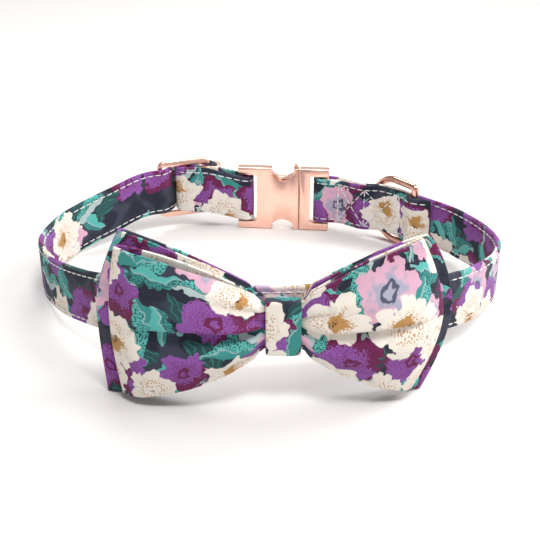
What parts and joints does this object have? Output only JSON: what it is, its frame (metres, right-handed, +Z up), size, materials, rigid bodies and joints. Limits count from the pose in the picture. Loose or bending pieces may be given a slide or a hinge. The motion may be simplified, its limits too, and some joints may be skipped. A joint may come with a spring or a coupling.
{
  "type": "pet bow tie collar",
  "caption": "Adjustable fabric pet collar with a side-release metal buckle, slider, D-ring and a double fabric bow tie.",
  "frame": {"origin": "middle of the collar's bounding box, at the surface it lies on", "axes": "+X to the right seen from the bow, +Y from the bow to the buckle, +Z up"},
  "size_m": [0.1718, 0.1612, 0.0545],
  "materials": {
    "print_fabric": "printed woven cotton",
    "knot_fabric": "printed woven cotton",
    "elastic": "knitted elastic",
    "rose_gold": "polished rose gold plating",
    "d_ring_gold": "polished rose gold plating"
  },
  "bodies": {
    "collar": {"strap": "print_fabric", "bow_front": "print_fabric", "bow_back": "print_fabric", "knot_band": "knot_fabric", "elastic_loop_left": "elastic", "elastic_loop_right": "elastic", "buckle_female": "rose_gold", "buckle_male": "rose_gold", "slider": "rose_gold"},
    "d_ring": {"d_ring": "d_ring_gold"},
    "release_lever_top": {"release_lever_top": "rose_gold"},
    "release_lever_bottom": {"release_lever_bottom": "rose_gold"}
  },
  "joints": [
    {"name": "d_ring_swing", "type": "hinge", "parent": "collar", "child": "d_ring", "pos_m": [0.06098, 0.04325, 0.0147], "axis": [0, 0, -1], "range_deg": [0, 105]},
    {"name": "release_lever_top_press", "type": "hinge", "parent": "collar", "child": "release_lever_top", "pos_m": [0.01193, 0.06771, 0.024], "axis": [-0.1045, -0.9945, 0], "range_deg": [0, 8], "stiffness_Nm_per_rad": 0.01, "springref_deg": -5.73},
    {"name": "release_lever_bottom_press", "type": "hinge", "parent": "collar", "child": "release_lever_bottom", "pos_m": [0.01193, 0.06771, 0.004], "axis": [0.1045, 0.9945, 0], "range_deg": [0, 8], "stiffness_Nm_per_rad": 0.01, "springref_deg": -5.73}
  ]
}
